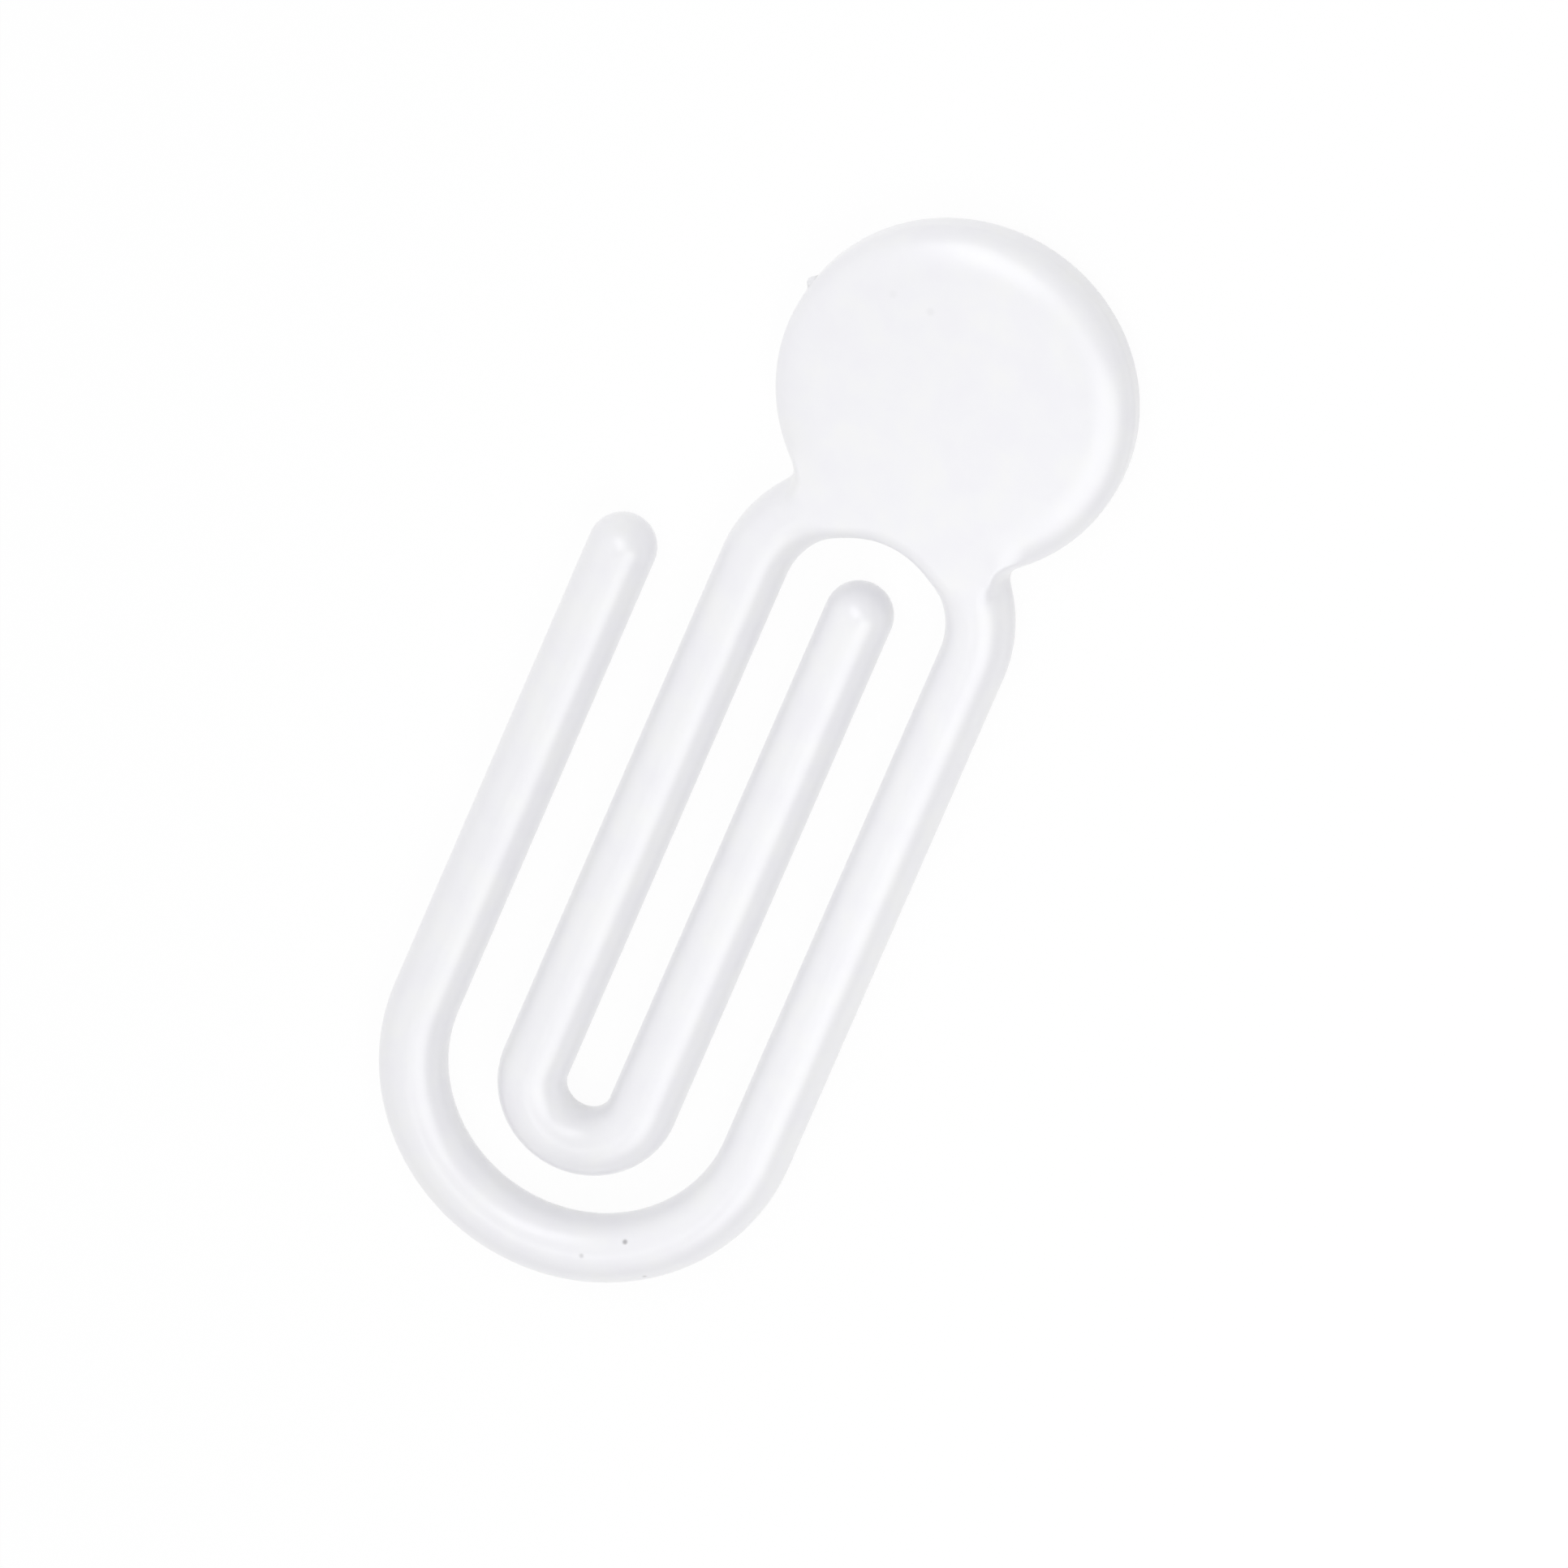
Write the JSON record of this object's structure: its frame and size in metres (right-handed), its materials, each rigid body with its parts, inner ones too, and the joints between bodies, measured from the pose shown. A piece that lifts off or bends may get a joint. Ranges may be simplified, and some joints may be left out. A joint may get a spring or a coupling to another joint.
{
  "type": "paper clip",
  "caption": "White plastic paper clip: a round rod bent into an outer and an inner loop that spring apart to grip paper, joined under a flat round head.",
  "frame": {"origin": "axis of the round head, at its flat back face", "axes": "+Y from the loops towards the head, along the legs; +Z out of the front face; +X towards the right leg"},
  "size_m": [0.0226, 0.06, 0.0035],
  "materials": {
    "white_plastic": "satin moulded"
  },
  "bodies": {
    "head": {"head_disc": "white_plastic", "top_bend": "white_plastic", "right_leg_flexure": "white_plastic", "inner_leg_flexure": "white_plastic"},
    "outer_loop": {"right_leg": "white_plastic", "outer_bend": "white_plastic", "free_leg_flexure": "white_plastic"},
    "free_leg": {"free_leg": "white_plastic"},
    "inner_loop": {"inner_leg": "white_plastic", "inner_bend": "white_plastic", "tongue_flexure": "white_plastic"},
    "tongue": {"tongue": "white_plastic"}
  },
  "joints": [
    {"name": "outer_loop_bend", "type": "hinge", "parent": "head", "child": "outer_loop", "pos_m": [0.00583, -0.01632, 0.00175], "axis": [-1, 0, 0], "range_deg": [0, 8], "stiffness_Nm_per_rad": 0.5, "deforming": ["right_leg_flexure"]},
    {"name": "free_leg_bend", "type": "hinge", "parent": "outer_loop", "child": "free_leg", "pos_m": [-0.01197, -0.03653, 0.00175], "axis": [1, 0, 0], "range_deg": [0, 10], "stiffness_Nm_per_rad": 0.5, "deforming": ["free_leg_flexure"]},
    {"name": "inner_loop_bend", "type": "hinge", "parent": "head", "child": "inner_loop", "pos_m": [-0.00583, -0.01632, 0.00175], "axis": [-1, 0, 0], "range_deg": [0, 8], "stiffness_Nm_per_rad": 0.5, "deforming": ["inner_leg_flexure"]},
    {"name": "tongue_bend", "type": "hinge", "parent": "inner_loop", "child": "tongue", "pos_m": [-0.00013, -0.03707, 0.00175], "axis": [1, 0, 0], "range_deg": [0, 10], "stiffness_Nm_per_rad": 0.5, "deforming": ["tongue_flexure"]}
  ]
}
